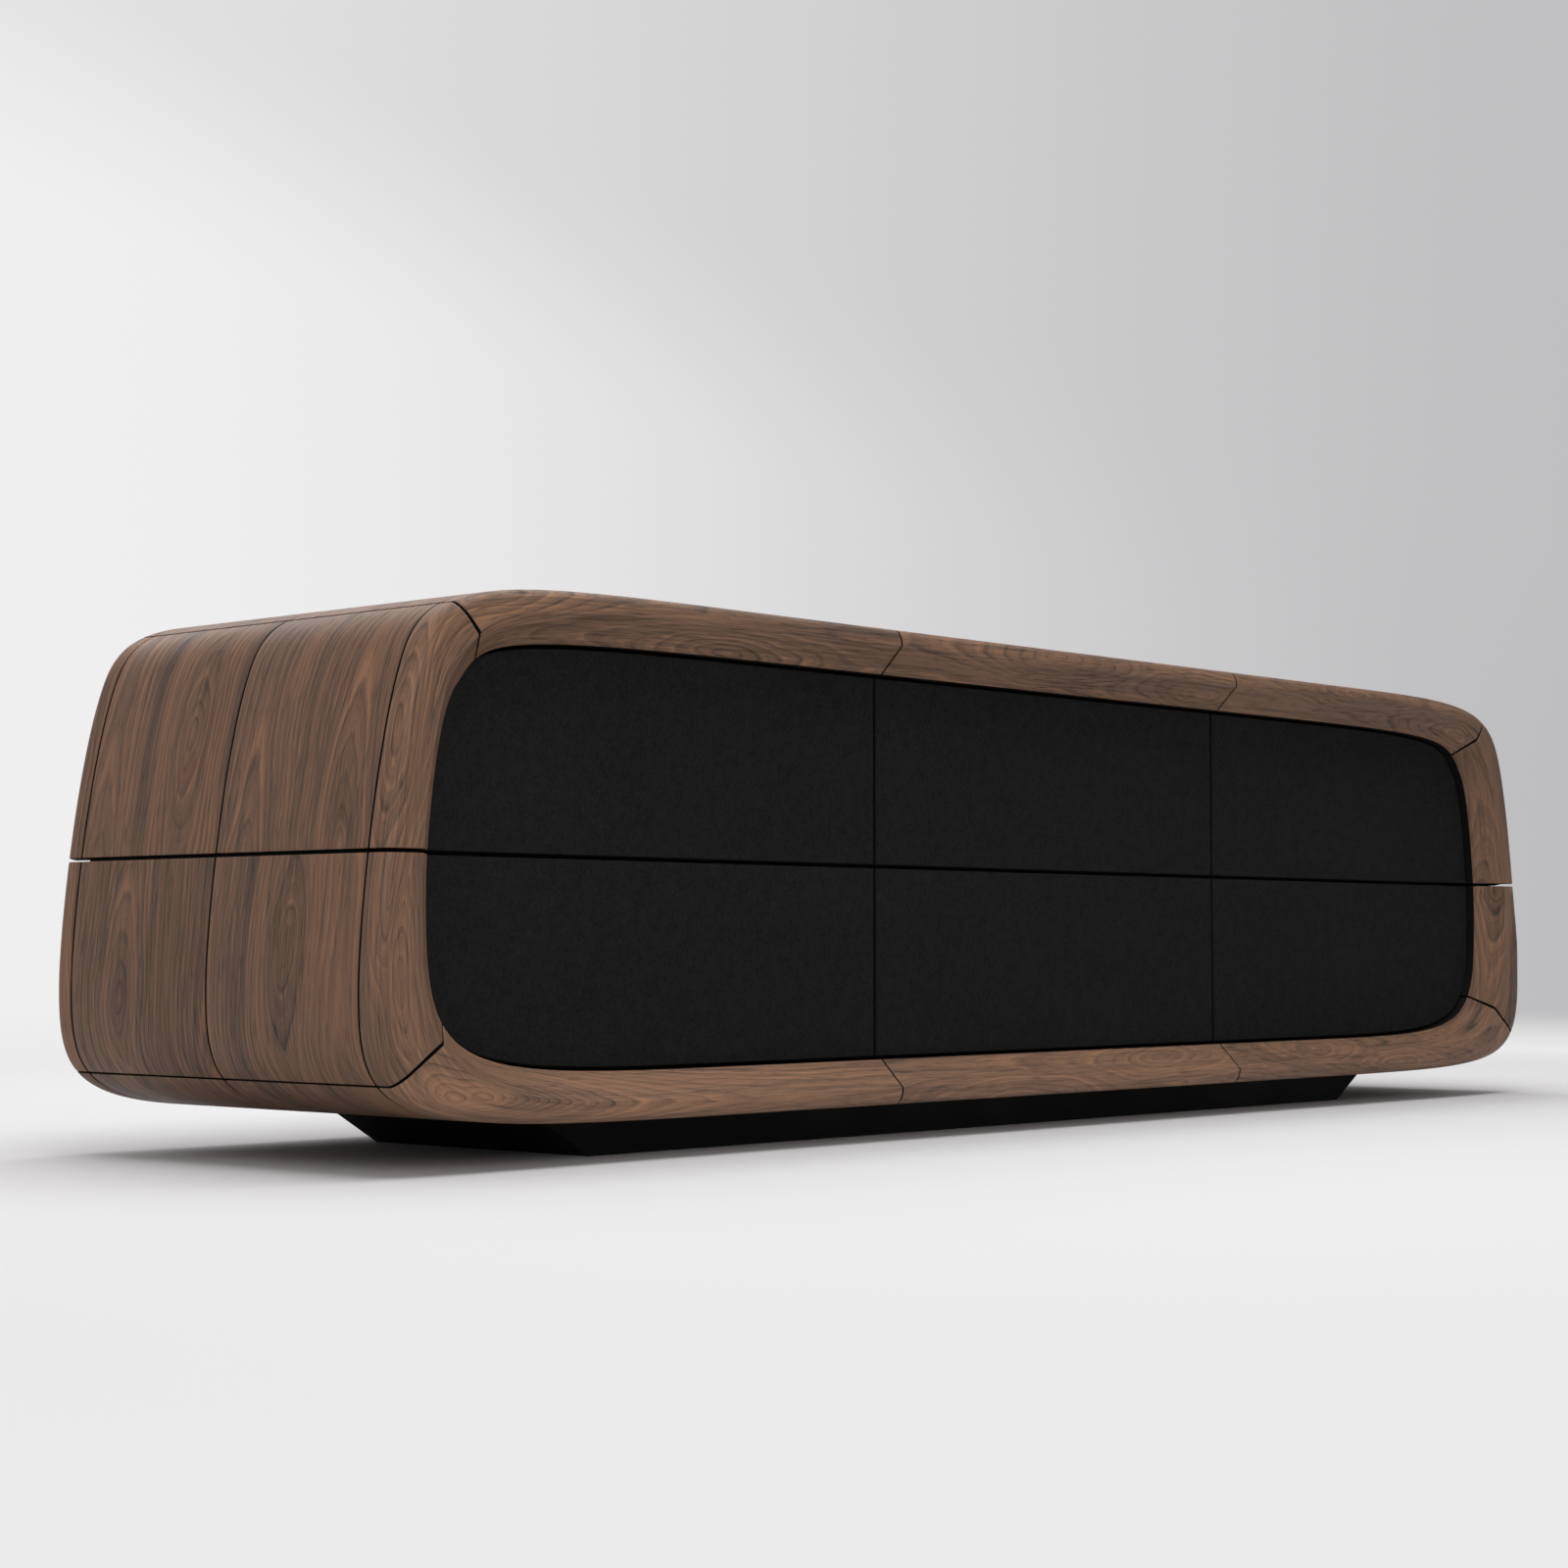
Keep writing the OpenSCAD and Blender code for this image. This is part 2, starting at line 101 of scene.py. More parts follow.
def blend_colours(tree, factor, first, second):
    """The output of a colour Mix node."""
    node = new_node(tree, "ShaderNodeMix", data_type="RGBA")
    feed(tree, node.inputs[0], factor)
    feed(tree, node.inputs[6], first)
    feed(tree, node.inputs[7], second)
    return node.outputs[2]


def srgb(red, green, blue):
    """A colour on the 0 to 255 display scale as the linear colour that shaders use."""
    c = np.array([red, green, blue]) / 255
    linear = np.where(c <= 0.04045, c / 12.92, ((c + 0.055) / 1.055) ** 2.4)
    return (*linear.tolist(), 1.0)


# The surround is lighter to the left and darker to the right and above. It is weaker as a light
# than it looks, so that the lamps shape the body.
SURROUND_TURN = math.radians(41.8)
LEFT_WALL = srgb(240, 239, 240)
HIGH_LEFT_WALL = srgb(228, 227, 228)
RIGHT_WALL = srgb(189, 188, 190)
LOW_WALL_REACH = (-0.24, 0.30)
HIGH_WALL_REACH = (-0.33, 0.36)
WALL_RISE = (0.15, 0.24)
WALL_LEAN = 0.37
SURROUND_LIGHT = 0.62

world = bpy.data.worlds.new("surround")
bpy.context.scene.world = world
world.use_nodes = True
world_tree = world.node_tree
world_tree.nodes.clear()
direction = new_node(world_tree, "ShaderNodeSeparateXYZ")
feed(world_tree, direction.inputs[0], new_node(world_tree, "ShaderNodeTexCoord").outputs["Generated"])
across = calc(world_tree, "SUBTRACT",
              calc(world_tree, "MULTIPLY", direction.outputs[0], math.sin(SURROUND_TURN)),
              calc(world_tree, "MULTIPLY", direction.outputs[1], math.cos(SURROUND_TURN)))
low_wall = blend_colours(
    world_tree, remap(world_tree, across, *LOW_WALL_REACH), LEFT_WALL, RIGHT_WALL)
high_wall = blend_colours(
    world_tree, remap(world_tree, across, *HIGH_WALL_REACH), HIGH_LEFT_WALL, RIGHT_WALL)
height = calc(world_tree, "ADD", direction.outputs[2], calc(world_tree, "MULTIPLY", across, WALL_LEAN))
wall = blend_colours(world_tree, remap(world_tree, height, *WALL_RISE), low_wall, high_wall)
background = new_node(world_tree, "ShaderNodeBackground")
feed(world_tree, background.inputs["Color"], wall)
seen = new_node(world_tree, "ShaderNodeLightPath").outputs["Is Camera Ray"]
feed(world_tree, background.inputs["Strength"],
     remap(world_tree, seen, 0, 1, SURROUND_LIGHT, 1.0, smooth=False))
world_out = new_node(world_tree, "ShaderNodeOutputWorld")
world_tree.links.new(background.outputs[0], world_out.inputs[0])


def material(name):
    """A new empty node material, with its tree and its output node."""
    made = bpy.data.materials.new(name)
    made.use_nodes = True
    made.node_tree.nodes.clear()
    return made, made.node_tree, new_node(made.node_tree, "ShaderNodeOutputMaterial")


# The floor is matt round the body, where the shadows lie, then an even glow, and then clear.
FLOOR_RADIUS = 16.0
FLOOR_SIDES = 96
FLOOR_MATT = srgb(211, 210, 211)
FLOOR_GLOW = srgb(237, 236, 237)
GLOW_REACH = (1.5, 2.9)
CLEAR_REACH = (2.2, 6.5)

turn = np.linspace(0, 2 * math.pi, FLOOR_SIDES, endpoint=False)
rim = np.stack([FLOOR_RADIUS * np.cos(turn), FLOOR_RADIUS * np.sin(turn), 0 * turn], 1)
floor_mesh = bpy.data.meshes.new("floor")
floor_mesh.from_pydata(rim.tolist(), [], [list(range(len(rim)))])
floor = bpy.data.objects.new("floor", floor_mesh)
bpy.context.scene.collection.objects.link(floor)
floor_material, floor_tree, floor_out = material("floor")
from_body = new_node(floor_tree, "ShaderNodeVectorMath", operation="LENGTH")
feed(floor_tree, from_body.inputs[0], new_node(floor_tree, "ShaderNodeTexCoord").outputs["Object"])
matt = new_node(floor_tree, "ShaderNodeBsdfDiffuse")
matt.inputs["Color"].default_value = FLOOR_MATT
glow = new_node(floor_tree, "ShaderNodeEmission")
glow.inputs["Color"].default_value = FLOOR_GLOW
clear = new_node(floor_tree, "ShaderNodeBsdfTransparent")
inner_floor = new_node(floor_tree, "ShaderNodeMixShader")
feed(floor_tree, inner_floor.inputs[0], remap(floor_tree, from_body.outputs["Value"], *GLOW_REACH))
floor_tree.links.new(matt.outputs[0], inner_floor.inputs[1])
floor_tree.links.new(glow.outputs[0], inner_floor.inputs[2])
whole_floor = new_node(floor_tree, "ShaderNodeMixShader")
feed(floor_tree, whole_floor.inputs[0], remap(floor_tree, from_body.outputs["Value"], *CLEAR_REACH))
floor_tree.links.new(inner_floor.outputs[0], whole_floor.inputs[1])
floor_tree.links.new(clear.outputs[0], whole_floor.inputs[2])
floor_tree.links.new(whole_floor.outputs[0], floor_out.inputs[0])
floor_mesh.materials.append(floor_material)


def soft_light(name, place, aim, size, power):
    """A soft rectangular lamp at a place, turned towards a point."""
    data = bpy.data.lights.new(name, "AREA")
    data.shape = "RECTANGLE"
    data.size, data.size_y = size
    data.energy = power
    light = bpy.data.objects.new(name, data)
    light.location = place
    away = np.array(aim, float) - np.array(place, float)
    tilt = math.atan2(math.hypot(away[0], away[1]), -away[2])
    light.rotation_euler = (tilt, 0, math.atan2(away[1], away[0]) - math.pi / 2)
    bpy.context.scene.collection.objects.link(light)


soft_light("overhead", place=(-0.35, -0.5, 3.4), aim=(-0.4, -0.2, 0), size=(4.2, 2.6), power=118)
soft_light("front_left", place=(-2.8, -4.0, 1.7), aim=(-0.5, 0, 0.3), size=(2.2, 1.6), power=51)
soft_light("behind", place=(0.4, 3.0, 2.4), aim=(0.4, 3.0, 0), size=(6.0, 2.2), power=58)

# ---------------------------------------------------------------------------------------------
# Black boards: the plinth, the carcass, the formers behind the ends and the gap strips, all of
# board, stained black and sealed dull. The same black covers the walls of the seams.
# ---------------------------------------------------------------------------------------------


def noise(tree, vector, detail=2.0, roughness=0.5, kind="3D", w=None):
    """The value of a noise texture whose scale is already in the vector."""
    node = new_node(tree, "ShaderNodeTexNoise", noise_dimensions=kind)
    node.inputs["Scale"].default_value = 1.0
    node.inputs["Detail"].default_value = detail
    node.inputs["Roughness"].default_value = roughness
    if kind != "1D":
        feed(tree, node.inputs["Vector"], vector)
    if w is not None:
        feed(tree, node.inputs["W"], w)
    return node.outputs[0]


def speckle(tree, scale, detail, roughness):
    """A noise over the piece's own coordinates, stretched axis by axis."""
    stretched = new_node(tree, "ShaderNodeVectorMath", operation="MULTIPLY")
    feed(tree, stretched.inputs[0], new_node(tree, "ShaderNodeTexCoord").outputs["Object"])
    stretched.inputs[1].default_value = scale
    return noise(tree, stretched.outputs[0], detail, roughness)


def centred(tree, value, amount):
    """A noise value moved to swing about zero, times an amount."""
    return calc(tree, "MULTIPLY", calc(tree, "SUBTRACT", value, 0.5), amount)


def total(tree, first, *rest):
    """The sum of several values."""
    for value in rest:
        first = calc(tree, "ADD", first, value)
    return first


def coating(name):
    """A new material of one Principled shader: the material, its tree and the shader's sockets."""
    made, tree, out = material(name)
    shader = new_node(tree, "ShaderNodeBsdfPrincipled")
    tree.links.new(shader.outputs[0], out.inputs[0])
    return made, tree, shader.inputs


def finish_nodes(slot, finish):
    """Gives every CAD node of a material slot its finish."""
    for entry in frame["record"]["subparts"]:
        if entry["material_slot"] == slot:
            mesh = frame["nodes"][entry["node"]].data
            mesh.materials.clear()
            mesh.materials.append(finish)


# The black of the stained boards, which on the drawer fronts' sides is also painted shade.
BLACK_STAIN_AND_SHADE = (srgb(7, 7, 8), srgb(16, 16, 17))

black, black_tree, black_shader = coating("black_board")
speck = speckle(black_tree, (300, 300, 300), 3.0, 0.7)
haze = speckle(black_tree, (7, 7, 7), 2.0, 0.5)
black_tone = total(black_tree, centred(black_tree, speck, 0.8), centred(black_tree, haze, 0.8))
black_tone = calc(black_tree, "ADD", black_tone, 0.5, clamp=True)
feed(black_tree, black_shader["Base Color"], blend_colours(black_tree, black_tone, *BLACK_STAIN_AND_SHADE))
feed(black_tree, black_shader["Roughness"], remap(black_tree, haze, 0.2, 0.8, 0.6, 0.75))
black_shader["Specular IOR Level"].default_value = 0.15
finish_nodes("black_board", black)

# ---------------------------------------------------------------------------------------------
# Front frame: solid walnut edging, mitred at the corners and glued to the carcass. Its section
# has a slope down to the opening, a flat land, a rounded outer edge and a tongue that runs
# back inside the shell.
# ---------------------------------------------------------------------------------------------
# Half the straight run along the top, the gap and the seams, the width and depth of the slope,
# how deep the two frames are, how thick the panels and their tongue, and the drawers' pitch.
SHOULDER = 0.550
MIDDLE_GAP = 0.004
SEAM = 0.003
SLOPE = 0.030
FRONT_FRAME = 0.026
REAR_FRAME = 0.034
PANEL = 0.018
TONGUE = PANEL + 0.002
PITCH = 0.6835

low_corner, high_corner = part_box("front_rail_top_centre")
half_high = (high_corner.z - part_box("front_rail_bottom_centre")[0].z) / 2
middle = high_corner.z - half_high
rail_face = high_corner.z - low_corner.z
end_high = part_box("end_panels_lower_right")[1]
half_long = end_high.x
front = low_corner.y
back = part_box("rear_rail_top")[1].y
front_seam = front + FRONT_FRAME
rear_seam = back - REAR_FRAME
carcass_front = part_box("partition_left")[0].y
back_panel_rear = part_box("back_panel")[1].y
panel_split = (front_seam + rear_seam) / 2 + 0.004
END_FACE = 0.0845
SIDES = ((-1, "left"), (1, "right"))

# Two outlines shape the whole body: the shell's outside and the opening's edge. Each is straight
# along the top and bottom, with one curve at a time round the corners and the end. Each lists its
# half length, half height, the height where it is widest, how far its top corner's end lies in
# from both, how many degrees that corner leans, and how far the curves' handles reach.
SHELL = (half_long, half_high, -0.128, (0.0545, 0.0695), 24.3,
         (0.370, 0.080, 0.080, 0.065, 0.140, 0.516))
OPENING = (half_long - END_FACE, half_high - rail_face, -0.030, (0.036, 0.056), 39.0,
           (0.410, 0.060, 0.043, 0.022, 0.190, 0.452))


def bezier(a, b, c, d, t):
    """Cubic curve from a to d that sets out towards b and comes in from c: the four points are
    weighed by the four terms of ((1 - t) + t) cubed, for a column of t."""
    a, b, c, d = (np.array(p) for p in (a, b, c, d))
    return (1 - t) ** 3 * a + 3 * (1 - t) ** 2 * t * b + 3 * (1 - t) * t * t * c + t ** 3 * d


def outline(form, s):
    """Points (x, z) of a half outline: s runs from -1 at the top's middle through 0 at the
    shoulder, 1 at the top corner's end, 2 at the widest height and 3 at the shoulder to 4."""
    long, high, widest, (inset_x, inset_z), lean, (a, b, c, d, e, f) = form
    t = np.atleast_1d(s)[:, None]
    corner = np.array([long - inset_x, high - inset_z])
    lean = np.array([math.sin(math.radians(lean)), -math.cos(math.radians(lean))])
    spans = [
        np.hstack([SHOULDER * (t + 1), high + 0 * t]),
        bezier((SHOULDER, high), (SHOULDER + a, high), corner - b * lean, corner, t),
        bezier(corner, corner + c * lean, (long, widest + d), (long, widest), t - 1),
        bezier((long, widest), (long, widest - e), (SHOULDER + f, -high), (SHOULDER, -high), t - 2),
        np.hstack([SHOULDER * (4 - t), -high + 0 * t]),
    ]
    return np.select([t < 0, t < 1, t < 2, t < 3], spans[:4], spans[4])


def travel(form, s, step=1e-3):
    """How fast the outline's point moves as s grows, by a central difference."""
    s = np.atleast_1d(s)
    return (outline(form, s + step) - outline(form, s - step)) / (2 * step)


def outward(form, s):
    """Unit normals of the outline, away from the body."""
    v = travel(form, s)
    return np.stack([-v[:, 1], v[:, 0]], 1) / np.linalg.norm(v, axis=1)[:, None]


def beside(form, s, distance):
    """Points at a distance outside the outline, along its normal."""
    return outline(form, s) + np.reshape(distance, (-1, 1)) * outward(form, s)


def s_at(form, distance, z):
    """Where an outline moved outwards by a distance passes height z above the middle gap."""
    s = np.linspace(0, 3, 4001)
    heights = beside(form, s, distance)[:, 1]
    return np.interp(-z, -heights, s)


def cut_at(opening_z, ridge_z, shell_z):
    """A cut across the frame by its height on the opening, on the ridge and on the shell."""
    return np.array([s_at(OPENING, 0, opening_z), s_at(OPENING, SLOPE, ridge_z), s_at(SHELL, 0, shell_z)])


def top_cut(x):
    """A straight cut across the top rails, at x."""
    return np.full(3, x / SHOULDER - 1)


def bottom_cut(x):
    """A straight cut across the bottom rails, at x."""
    return np.full(3, 4 - x / SHOULDER)


def moved(cut, distance):
    """The cut moved along all three outlines by a distance."""
    speed = [np.linalg.norm(travel(form, s)) for form, s in zip((OPENING, OPENING, SHELL), cut)]
    return cut + distance / np.array(speed)


# The mitres' heights above and below the middle gap, and the cuts on either side of that gap.
TOP_MITRE = cut_at(0.189, 0.211, 0.240)
BOTTOM_MITRE = cut_at(-0.164, -0.181, -0.221)
ABOVE_GAP = cut_at(*[MIDDLE_GAP / 2] * 3)
BELOW_GAP = cut_at(*[-MIDDLE_GAP / 2] * 3)
seam_x = PITCH / 2 + SEAM / 2
centre_x = PITCH / 2 - SEAM / 2


def group(name, inputs, outputs):
    """A shader node group with named sockets: (kind, default) for each input, kind for outputs."""
    tree = bpy.data.node_groups.new(name, "ShaderNodeTree")
    for label, (kind, default) in inputs.items():
        socket = tree.interface.new_socket(label, in_out="INPUT", socket_type="NodeSocket" + kind)
        if default is not None:
            socket.default_value = default
    for label, kind in outputs.items():
        tree.interface.new_socket(label, in_out="OUTPUT", socket_type="NodeSocket" + kind)
    return tree, new_node(tree, "NodeGroupInput").outputs, new_node(tree, "NodeGroupOutput").inputs


def plank_vector(tree, u, v, w, scale_u, scale_v, shift=0.0):
    """A vector (u, v, seed) stretched for the grain, with a shift that makes noises differ."""
    node = new_node(tree, "ShaderNodeCombineXYZ")
    feed(tree, node.inputs[0], calc(tree, "MULTIPLY", u, scale_u))
    feed(tree, node.inputs[1], calc(tree, "MULTIPLY", v, scale_v))
    feed(tree, node.inputs[2], calc(tree, "ADD", w, shift))
    return node.outputs[0]


# Walnut: flat-sawn veneer and solid edging, satin oiled. Growth rings cut by a plane show as
# nested ovals and arches about a heart; the rings wander, darken in zones and carry fine pores.
figure_tree, figure_in, figure_out = group(
    "walnut_figure",
    {"Plank": ("Vector", None), "Second": ("Vector", None), "Growth": ("Vector", None),
     "Seed": ("Float", 0.0), "Reach": ("Float", 0.12), "Tone": ("Float", 1.0),
     "Mid": ("Color", srgb(112, 88, 74)), "Light": ("Color", srgb(138, 103, 80)),
     "Dark": ("Color", srgb(76, 68, 63))},
    {"Color": "Color", "Gloss": "Float", "Height": "Float"})


def distance_to_heart(tree, across, along, taper, reach):
    """Distance from the tree's heart to the cut face: the root of across^2 + rise^2, where the
    rise taper*along / root(1 + (along/reach)^2) grows at first and then levels off."""
    ratio = calc(tree, "DIVIDE", along, reach)
    ease = calc(tree, "SQRT", calc(tree, "ADD", 1.0, calc(tree, "MULTIPLY", ratio, ratio)))
    rise = calc(tree, "DIVIDE", calc(tree, "MULTIPLY", along, taper), ease)
    return calc(tree, "SQRT", calc(tree, "ADD", calc(tree, "MULTIPLY", across, across),
                                   calc(tree, "MULTIPLY", rise, rise)))


def walnut_figure(tree, inputs, outputs):
    """Growth rings about one or two hearts, each ring with a thin dark late line and a light
    early one, in zones of light and dark, with fibres and pores along the grain."""
    plank = new_node(tree, "ShaderNodeSeparateXYZ")
    feed(tree, plank.inputs[0], inputs["Plank"])
    second = new_node(tree, "ShaderNodeSeparateXYZ")
    feed(tree, second.inputs[0], inputs["Second"])
    growth = new_node(tree, "ShaderNodeSeparateXYZ")
    feed(tree, growth.inputs[0], inputs["Growth"])
    ring, taper, wander = growth.outputs
    u, v, w = plank.outputs[0], plank.outputs[1], calc(tree, "MULTIPLY", inputs["Seed"], 7.31)

    def grain(scale_u, scale_v, shift, detail=2.0, roughness=0.5):
        """A noise with so many waves a metre across and along the board."""
        return noise(tree, plank_vector(tree, u, v, w, scale_u, scale_v, shift), detail, roughness)

    # The rings: their distance from the nearer heart, with the board's own wander.
    slow = centred(tree, grain(3.0, 3.2, 0.0), 0.045)
    quick = centred(tree, grain(20, 8, 3.0), 0.011)
    across = calc(tree, "ADD", u, calc(tree, "MULTIPLY", total(tree, slow, quick), wander))
    along = calc(tree, "ADD", v, calc(tree, "MULTIPLY", centred(tree, grain(9, 5, 9.0), 0.05), wander))
    first = distance_to_heart(tree, across, along, taper, inputs["Reach"])
    other = distance_to_heart(
        tree, calc(tree, "SUBTRACT", across, second.outputs[0]),
        calc(tree, "SUBTRACT", along, second.outputs[1]), taper, inputs["Reach"])
    radius = calc(tree, "SMOOTH_MIN", first, other, 0.004)
    rings = total(tree, calc(tree, "DIVIDE", radius, ring), centred(tree, grain(60, 8, 5.0), 0.9))
    phase = calc(tree, "FRACT", rings)
    year = calc(tree, "ADD", calc(tree, "FLOOR", rings), w)
    mood = new_node(tree, "ShaderNodeTexWhiteNoise", noise_dimensions="1D")
    feed(tree, mood.inputs["W"], year)
    moods = new_node(tree, "ShaderNodeSeparateXYZ")
    feed(tree, moods.inputs[0], mood.outputs["Color"])

    # One year's growth: a light early line and then a dark late one, each year of its own strength.
    late = calc(tree, "MULTIPLY", remap(tree, phase, 0.60, 0.88), remap(tree, phase, 0.92, 1.0, 1.0, 0.0))
    early = calc(tree, "MULTIPLY", remap(tree, phase, 0.0, 0.08), remap(tree, phase, 0.12, 0.55, 1.0, 0.0))
    late = calc(tree, "MULTIPLY", late, remap(tree, moods.outputs[0], 0, 1, 0.25, 1.0, smooth=False))
    early = calc(tree, "MULTIPLY", early, remap(tree, moods.outputs[1], 0, 1, 0.1, 1.0, smooth=False))
    thin = remap(tree, calc(tree, "FRACT", calc(tree, "MULTIPLY", rings, 3.3)), 0.55, 0.95)

    # Zones of several years, and the marks that run along the grain.
    zone = noise(tree, None, 2.0, 0.6, "1D", calc(tree, "ADD", calc(tree, "MULTIPLY", radius, 30.0), w))
    fibre = grain(430, 9, 1.0, 3.0, 0.65)
    streak = grain(120, 2.6, 2.0, 2.0, 0.6)
    pore = remap(tree, grain(620, 32, 4.0, 1.0), 0.54, 0.68)
    cloud = grain(6.0, 3.5, 20.0)
    broken = remap(tree, grain(70, 5, 30.0), 0.35, 0.6, 0.35, 1.0)

    # All of them together, as how far the colour goes to the dark and to the light.
    shade = total(
        tree, calc(tree, "MULTIPLY", calc(tree, "MULTIPLY", late, broken), 0.62),
        calc(tree, "MULTIPLY", thin, 0.15), calc(tree, "MULTIPLY", pore, 0.34),
        centred(tree, zone, 1.3), centred(tree, streak, 1.0), centred(tree, fibre, 1.5),
        centred(tree, cloud, 0.6), 0.02)
    glow = calc(tree, "SUBTRACT", calc(tree, "MULTIPLY", early, 0.62), calc(tree, "MULTIPLY", shade, 0.7))
    colour = blend_colours(tree, calc(tree, "MAXIMUM", glow, 0.0, clamp=True), inputs["Mid"], inputs["Light"])
    colour = blend_colours(tree, calc(tree, "MAXIMUM", shade, 0.0, clamp=True), colour, inputs["Dark"])
    toned = new_node(tree, "ShaderNodeVectorMath", operation="SCALE")
    feed(tree, toned.inputs[0], colour)
    feed(tree, toned.inputs["Scale"], inputs["Tone"])
    feed(tree, outputs["Color"], toned.outputs[0])
    feed(tree, outputs["Gloss"],
         total(tree, 0.46, calc(tree, "MULTIPLY", pore, 0.15), centred(tree, fibre, 0.15)))
    feed(tree, outputs["Height"], calc(tree, "SUBTRACT", calc(tree, "MULTIPLY", fibre, 0.4), pore))


walnut_figure(figure_tree, figure_in, figure_out)


def walnut(name, mid, light, dark, **figure_values):
    """A walnut finish: the figure on the piece's own plank map, under a satin oil."""
    made, tree, shader = coating(name)
    figure = new_node(tree, "ShaderNodeGroup", node_tree=figure_tree)
    feed(tree, figure.inputs["Plank"], new_node(tree, "ShaderNodeUVMap", uv_map="plank").outputs[0])
    for label, attribute, output in (("Seed", "seed", "Fac"), ("Tone", "tone", "Fac"),
                                     ("Second", "second_heart", "Vector"), ("Growth", "growth", "Vector")):
        source = new_node(tree, "ShaderNodeAttribute", attribute_name=attribute)
        feed(tree, figure.inputs[label], source.outputs[output])
    for label, value in {"Mid": mid, "Light": light, "Dark": dark, **figure_values}.items():
        feed(tree, figure.inputs[label], value)
    feed(tree, shader["Base Color"], figure.outputs["Color"])
    feed(tree, shader["Roughness"], figure.outputs["Gloss"])
    shader["Specular IOR Level"].default_value = 0.2
    bump = new_node(tree, "ShaderNodeBump")
    bump.inputs["Strength"].default_value = 0.2
    bump.inputs["Distance"].default_value = 0.0003
    feed(tree, bump.inputs["Height"], figure.outputs["Height"])
    feed(tree, shader["Normal"], bump.outputs[0])
    return made


WALNUT_EDGING = walnut("walnut_edging", srgb(115, 87, 68), srgb(152, 112, 83), srgb(58, 47, 40), Reach=0.2)

# How a board grew: ring spacing, how much slower the rings open along the grain, and wander.
EDGING_GROWTH = (0.0058, 0.24, 1.0)

# The edging's own sizes, and the points of its section where its girth is counted from and where
# the black starts. Its first, second and thirteenth corners are eased.
FRONT_ROUND_D = 0.011
FRONT_ROUND_W = 0.025
FRONT_EASE = {0: 0.0012, 1: 0.003, 12: 0.0008}
GIRTH_FROM = 4
FRONT_BLACK_FROM = 24
SHARP = math.radians(38)
quarter = np.radians(np.linspace(0, 90, 10))


def at(points, y):
    """Points (x, z) about the middle gap as points (x, y, z) in the part's frame."""
    y = np.broadcast_to(np.reshape(y, (-1,)), (len(points),))
    return np.stack([points[:, 0], y, points[:, 1] + middle], 1)


def front_section(cuts):
    """The front frame's section at each cut, as an array (cuts, points, 3)."""
    edge = outline(OPENING, cuts[:, 0])
    ridge = beside(OPENING, cuts[:, 1], SLOPE)
    shell = outline(SHELL, cuts[:, 2])
    land = np.linalg.norm(ridge - shell, axis=1, keepdims=True)
    width = np.minimum(FRONT_ROUND_W, land - 0.001)
    rounding = [at(shell + (ridge - shell) / land * width * (1 - math.sin(a)),
                   front + FRONT_ROUND_D * (1 - math.cos(a))) for a in quarter]
    tongue = beside(SHELL, cuts[:, 2], -TONGUE)
    return np.stack([
        at(edge, front + SLOPE), at(ridge, front), *rounding, at(shell, front_seam),
        at(tongue, front_seam), at(tongue, carcass_front), at(edge, carcass_front)], 1)


def rounded(section, radii, steps=4):
    """Rounds listed corners of closed sections: each gives way to a parabola between two points
    at its radius along the neighbouring edges."""
    out = []
    t = np.linspace(0, 1, steps + 1)[:, None, None]
    for j in range(section.shape[1]):
        p = section[:, j]
        if j not in radii:
            out.append(p)
            continue
        ends = []
        for other in (section[:, j - 1], section[:, (j + 1) % section.shape[1]]):
            away = other - p
            size = np.linalg.norm(away, axis=1, keepdims=True)
            ends.append(p + away / size * np.minimum(radii[j], 0.45 * size))
        out.extend((1 - t) ** 2 * ends[0] + 2 * (1 - t) * t * p + t * t * ends[1])
    return np.stack(out, 1)


def stations(a, b, count):
    """Cuts evenly spaced from a to b."""
    return a + (b - a) * np.linspace(0, 1, count + 1)[:, None]


def with_arris(section, arris):
    """Adds rings at both ends so that the end edges are eased: a quarter circle of radius
    arris, drawn in along the surface normal and back along the piece."""
    run = np.gradient(section, axis=0)
    round_about = np.roll(section, -1, 1) - np.roll(section, 1, 1)
    normal = np.cross(run, round_about)
    normal /= np.linalg.norm(normal, axis=2, keepdims=True) + 1e-12
    middle_of = section.mean(1, keepdims=True)
    sign = np.sign(((section - middle_of) * normal).sum())
    normal = normal * sign
    run = run / (np.linalg.norm(run, axis=2, keepdims=True) + 1e-12)
    bend = np.radians(np.array([0.0, 30.0, 60.0]))[:, None, None]
    back_by, in_by = arris * (1 - np.cos(bend)), arris * (1 - np.sin(bend))
    first = section[0] + run[0] * back_by - normal[0] * in_by
    last = (section[-1] - run[-1] * back_by - normal[-1] * in_by)[::-1]
    first_full = section[:1] + run[:1] * arris
    last_full = section[-1:] - run[-1:] * arris
    return np.concatenate([first, first_full, section[1:-1], last_full, last])


def skin(rings):
    """Faces over rows of points, each row closed on itself and joined to the next: the four-sided
    faces row by row, and a cap on the first row and on the last."""
    n, m = rings.shape[:2]
    index = np.arange(n * m).reshape(n, m)
    ahead = np.roll(index, -1, 1)
    quads = np.stack([index[:-1], ahead[:-1], ahead[1:], index[1:]], 2).reshape(-1, 4)
    return quads, [index[0, ::-1].tolist(), index[-1].tolist()]


def new_piece(name, points, faces, finish, black_and_shade_faces):
    """A mesh object at the origin, in its finish but for the listed faces, which are black; on the drawer
    fronts that black is painted shade.
    """
    mesh = bpy.data.meshes.new(name)
    mesh.from_pydata(points.tolist(), [], faces)
    mesh.materials.append(finish)
    mesh.materials.append(black)
    mesh.polygons.foreach_set("material_index", black_and_shade_faces.astype(np.int32))
    mesh.shade_smooth()
    mesh.set_sharp_from_angle(angle=SHARP)
    piece = bpy.data.objects.new(name, mesh)
    bpy.context.scene.collection.objects.link(piece)
    return piece


